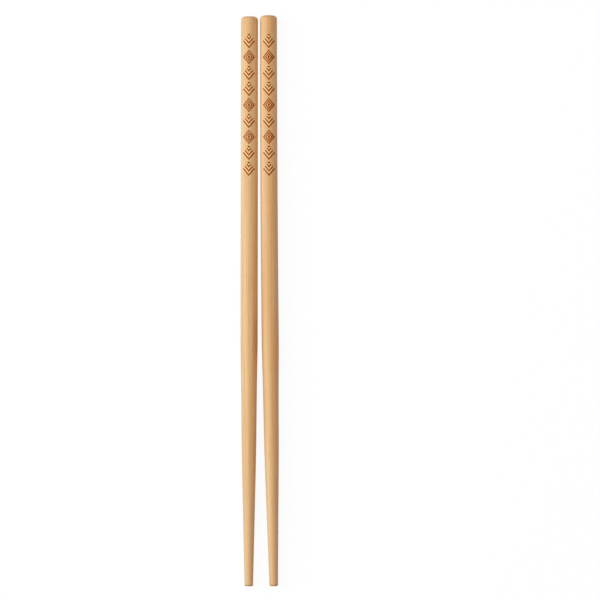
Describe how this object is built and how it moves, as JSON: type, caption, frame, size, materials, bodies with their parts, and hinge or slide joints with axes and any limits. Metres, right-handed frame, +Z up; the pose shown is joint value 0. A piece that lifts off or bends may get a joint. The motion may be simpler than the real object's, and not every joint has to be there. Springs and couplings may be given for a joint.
{
  "type": "pair of bamboo chopsticks",
  "caption": "Pair of round, tapered bamboo sticks for picking up food, with a band of lozenges and chevrons engraved along one side of each handle.",
  "frame": {"origin": "on the surface that the sticks lie on, below the middle of the pair", "axes": "+Y along the sticks towards their butts, +X towards the right stick, +Z up, on the engraved side"},
  "size_m": [0.0168, 0.24, 0.0072],
  "materials": {
    "bamboo": "satin"
  },
  "bodies": {
    "root": {"left_stick": "bamboo", "right_stick": "bamboo"}
  },
  "joints": []
}
